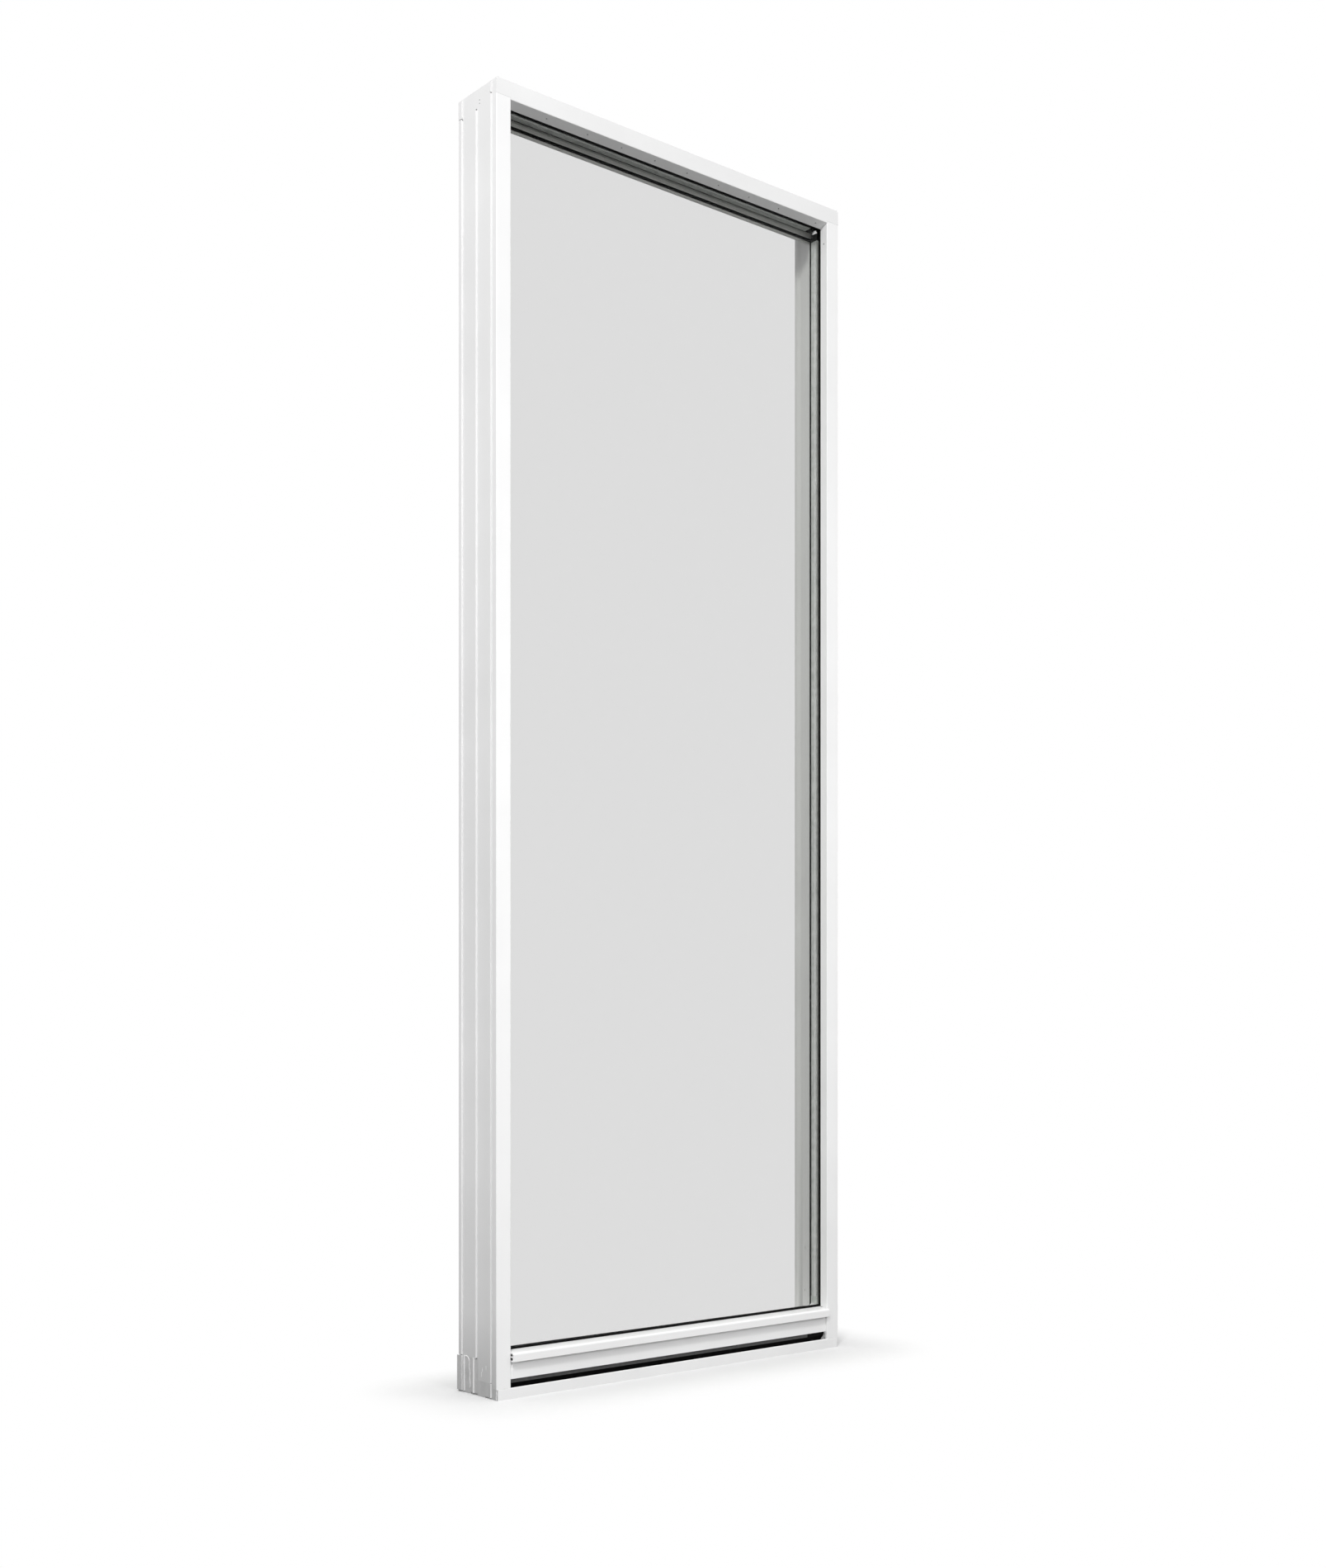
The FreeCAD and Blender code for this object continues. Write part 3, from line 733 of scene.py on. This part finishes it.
def make_hole_shades(material):
    """Near-black round heads sunk into the holes of the head's and the jambs' reveal: painted
    shade in the holes.
    """
    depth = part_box("left_jamb")[0][1] + HOLE_DEPTH
    down = Vector((0, 0, -1))
    for number, x in enumerate(HEAD_HOLES):
        foot = Vector((x, depth, HEAD_HOLE_HEIGHT)) - down * HOLE_SHADE_IN
        make_stud(f"head_hole_screw_{number}", foot, down, HOLE_SHADE_RADIUS,
                  HOLE_SHADE_HEIGHT, material, "edge_sealant")
    for side in ("left", "right"):
        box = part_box(side + "_jamb")
        inwards = Vector((-side_sign(side), 0, 0))
        x = box[1][0] if side == "left" else box[0][0]
        foot = Vector((x, depth, JAMB_HOLE_HEIGHT)) - inwards * HOLE_SHADE_IN
        make_stud(f"jamb_hole_painted_shade_{side}", foot, inwards, HOLE_SHADE_RADIUS,
                  HOLE_SHADE_HEIGHT, material, "edge_sealant")


def make_joint_line(side, material):
    """The fine joint between the head and a jamb on the front face."""
    low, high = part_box(side + "_jamb")
    half = JOINT_WIDTH / 2.0
    rings = []
    for x in (low[0], (low[0] + high[0]) / 2.0, high[0]):
        rings.append([
            Vector((x, low[1] + JOINT_RISE, JOINT_HEIGHT - half)),
            Vector((x, low[1] - JOINT_RISE, JOINT_HEIGHT - half)),
            Vector((x, low[1] - JOINT_RISE, JOINT_HEIGHT + half)),
            Vector((x, low[1] + JOINT_RISE, JOINT_HEIGHT + half)),
        ])
    add_piece("head_joint_line_" + side, *swept(rings), material, "edge_sealant")


def make_bead_gap_shade(material):
    """A dark patch that paints the shade in the gap between the bead's top and the right jamb."""
    bead_end = Vector(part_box("sill_glazing_bead")[1])
    middle = bead_end + Vector((-BEAD_SHADE_IN, -BEAD_SHADE_BACK, 0.0))
    make_dab("bead_end_gap_shade", middle, Vector((0, 0, 1)), BEAD_SHADE_SIZE, material, "edge_sealant")


def make_grime(material):
    """Smudges on the right jamb's rear reveal."""
    leg_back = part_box("rear_gasket_right")[1][1] + LEG_THICKNESS
    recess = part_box("right_jamb")[1][0] - REVEAL_RECESS
    for number, (depth, height) in enumerate(GRIME_PLACES):
        middle = Vector((recess, leg_back + depth, height))
        make_dab(f"grime_right_{number}", middle, Vector((-1, 0, 0)), GRIME_SIZE, material,
                 "edge_sealant")


def make_details():
    """All the small pieces. Their order sets which random draws each one gets."""
    materials = detail_materials()
    for side in ("head", "sill", "left", "right"):
        slit = "soft_slit" if side in ("head", "sill") else "slit"
        make_slits(side, materials[slit])
        make_butyl(side, materials["butyl"])
    make_leg_slit_reflection(materials["leg_reflection"])
    make_wall_sealant(materials["fresh"])
    make_hole_shades(materials["hole"])
    for side in ("left", "right"):
        make_ridge(side, materials["ridge"])
        make_joint_line(side, materials["joint"])
        make_key_rib("head", side, materials["key_rib"])
        make_key_rib("sill", side, materials["key_rib"])
        make_side_marks(side, materials)
        make_end_sealant(side, materials["sealant"])
    make_bead_gap_shade(materials["hole"])
    make_grime(materials["grime"])


def end_cap():
    """End cap of the sill: coated like the frame, with smeared grey patches and painted shade
    towards the foot on its side.
    """
    material, tree, shader = new_material("end_cap")
    place = object_coordinates(tree)
    smears = noise(tree, place, scale=70.0, detail=6.0, roughness=0.65)
    patches = ramp(tree, smears, [(0.35, grey(0.84)), (0.65, grey(0.97))])
    # Painted shade towards the foot, multiplied with the smeared patches
    shaded_foot = mix_colours(tree, 1.0, painted_foot_shade(tree, place), patches, "MULTIPLY")
    side = outer_side(tree, place)
    colour = mix_colours(tree, side, coat_tone(tree, place), shaded_foot, "MULTIPLY")
    link(tree, colour, shader.inputs["Base Color"])
    shader.inputs["Roughness"].default_value = 0.5
    skin = noise(tree, place, scale=500.0)
    bump(tree, skin, strength=0.2, distance=0.0003, shader=shader)
    return material


def dress_alone(frame, names, material):
    """Gives single nodes a finish of their own."""
    for name in names:
        for slot in frame["nodes"][name].material_slots:
            slot.material = material


def dress_slots(frame):
    """Gives every piece of the frame the material of its slot."""
    makers = {
        "white_coat": white_coat,
        "black_rubber": black_rubber,
        "clear_glass": clear_glass,
        "spacer_metal": spacer_metal,
        "key_plastic": key_plastic,
        "edge_sealant": edge_sealant,
    }
    materials = {slot: make() for slot, make in makers.items()}
    for subpart in frame["record"]["subparts"]:
        piece = frame["nodes"][subpart["node"]]
        for slot in piece.material_slots:
            slot.material = materials[subpart["material_slot"]]


def dress_own_finishes(frame):
    """Pieces that look different from the rest of their slot."""
    # Painted shade: the head's corner keys are a darker copy of the key plastic
    head_key_shade = plain_material("key_painted_shade", grey(0.002), grey(0.008), 200.0, 0.5)
    # Painted light: the sill's corner keys are a pale copy of the dark key plastic
    sill_key_light = plain_material("key_painted_light", (0.46, 0.48, 0.46), (0.60, 0.62, 0.60), 160.0, 0.45)
    # Painted shade: the white slot corner is a grey copy, as it lies in shade
    slot_corner_shade = plain_material("slot_corner_painted_shade", grey(0.22), grey(0.34), 260.0, 0.5)
    head = ["head_extrusion", "head_end_plate_left", "head_end_plate_right"]
    # A darker copy of the coat on the head: painted shade on its front
    dress_alone(frame, head, white_coat("head_coat_painted_shade", HEAD_SHADE_SHARE))
    dress_alone(frame, ["sill_end_plate_left", "sill_end_plate_right"], end_cap())
    dress_alone(frame, ["spacer_key_head_left", "spacer_key_head_right"], head_key_shade)
    dress_alone(frame, ["spacer_key_sill_left", "spacer_key_sill_right"], sill_key_light)
    dress_alone(frame, ["sill_slot_corner"], slot_corner_shade)


def diffuse(tree, tone):
    node = tree.nodes.new("ShaderNodeBsdfDiffuse")
    node.inputs["Color"].default_value = (*grey(tone), 1.0)
    return node.outputs["BSDF"]


def emission(tree, strength):
    node = tree.nodes.new("ShaderNodeEmission")
    node.inputs["Strength"].default_value = strength
    return node.outputs["Emission"]


def vector_step(tree, operation, first, second):
    """One step of vector arithmetic with a fixed second value."""
    node = tree.nodes.new("ShaderNodeVectorMath")
    node.operation = operation
    link(tree, first, node.inputs[0])
    node.inputs[1].default_value = second
    return node.outputs["Vector"]


def distance_share(tree, near, far):
    """0 closer than near to the window's foot, 1 beyond far."""
    _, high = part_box("sill_extrusion")
    foot = (high[0], high[1], 1.0)
    away = vector_step(tree, "ABSOLUTE", object_coordinates(tree), (0.0, 0.0, 0.0))
    away = vector_step(tree, "SUBTRACT", away, foot)
    away = vector_step(tree, "MAXIMUM", away, (0.0, 0.0, 0.0))
    length = tree.nodes.new("ShaderNodeVectorMath")
    length.operation = "LENGTH"
    link(tree, away, length.inputs[0])
    return map_range(tree, length.outputs["Value"], near, far)


def floor_material():
    """Pale floor that looks white to the camera and keeps the shadow at the window's foot."""
    material = bpy.data.materials.new("studio_floor")
    material.use_nodes = True
    tree = material.node_tree
    tree.nodes.clear()
    out = tree.nodes.new("ShaderNodeOutputMaterial")
    away = distance_share(tree, FLOOR_NEAR, FLOOR_FAR)
    seen = mix_shaders(tree, away, diffuse(tree, FLOOR_TONE_SEEN), emission(tree, 1.0))
    floor = mix_shaders(tree, seen_ray(tree), diffuse(tree, FLOOR_TONE), seen)
    link(tree, floor, out.inputs["Surface"])
    return material


def make_floor():
    half = FLOOR_SIZE / 2.0
    mesh = bpy.data.meshes.new("studio_floor")
    corners = [(-half, -half, 0), (half, -half, 0), (half, half, 0), (-half, half, 0)]
    mesh.from_pydata(corners, [], [(0, 1, 2, 3)])
    floor = bpy.data.objects.new("studio_floor", mesh)
    bpy.context.scene.collection.objects.link(floor)
    mesh.materials.append(floor_material())


def background(tree, strength):
    node = tree.nodes.new("ShaderNodeBackground")
    node.inputs["Color"].default_value = (1.0, 1.0, 1.0, 1.0)
    node.inputs["Strength"].default_value = strength
    return node.outputs["Background"]


def make_world():
    """White surroundings for the camera, glass and gloss; soft grey light for the rest."""
    world = bpy.data.worlds.new("studio")
    bpy.context.scene.world = world
    world.use_nodes = True
    tree = world.node_tree
    tree.nodes.clear()
    out = tree.nodes.new("ShaderNodeOutputWorld")
    sky = mix_shaders(tree, seen_ray(tree), background(tree, SKY_LIGHT), background(tree, 1.0))
    link(tree, sky, out.inputs["Surface"])


def area_lamp(name, place, target, size, power, glossy):
    light = bpy.data.lights.new(name, "AREA")
    light.shape = "SQUARE"
    light.size = size
    light.energy = power
    lamp = bpy.data.objects.new(name, light)
    bpy.context.scene.collection.objects.link(lamp)
    lamp.visible_camera = False
    lamp.visible_transmission = False
    lamp.visible_glossy = glossy
    lamp.location = place
    direction = Vector(target) - Vector(place)
    lamp.rotation_euler = direction.to_track_quat("-Z", "Y").to_euler()


def make_lamps():
    """A key at the upper left and two weak soft fills in front."""
    for lamp in LAMPS:
        area_lamp(*lamp)


def make_camera():
    """A level camera to the left of the front, its picture shifted up."""
    low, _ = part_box("left_jamb")
    turn = math.radians(AZIMUTH)
    back = Vector((math.sin(turn), -math.cos(turn), 0.0))
    right = Vector((math.cos(turn), math.sin(turn), 0.0))
    data = bpy.data.cameras.new("camera")
    data.sensor_fit = "HORIZONTAL"
    data.sensor_width = SENSOR
    data.lens = SENSOR * FOCAL_PIXELS / PHOTO_WIDTH
    data.shift_y = HORIZON_BELOW_CENTRE / PHOTO_WIDTH
    camera = bpy.data.objects.new("camera", data)
    bpy.context.scene.collection.objects.link(camera)
    corner = Vector((low[0], low[1], 0.0))
    camera.location = corner + back * CAMERA_DISTANCE + right * CAMERA_SIDE
    camera.location.z = EYE_HEIGHT
    camera.rotation_euler = (math.radians(90.0), 0.0, turn)
    bpy.context.scene.camera = camera


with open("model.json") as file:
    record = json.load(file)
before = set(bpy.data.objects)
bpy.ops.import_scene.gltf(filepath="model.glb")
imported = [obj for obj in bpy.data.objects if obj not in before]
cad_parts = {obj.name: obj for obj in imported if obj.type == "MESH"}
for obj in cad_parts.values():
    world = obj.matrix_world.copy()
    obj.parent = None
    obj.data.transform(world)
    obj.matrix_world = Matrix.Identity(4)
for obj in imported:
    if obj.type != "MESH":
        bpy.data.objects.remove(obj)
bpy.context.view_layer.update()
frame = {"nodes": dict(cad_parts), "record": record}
random.seed(SEED)
bpy.context.scene.view_settings.view_transform = "Standard"
dress_slots(frame)
dress_own_finishes(frame)
make_details()
make_floor()
make_world()
make_lamps()
make_camera()
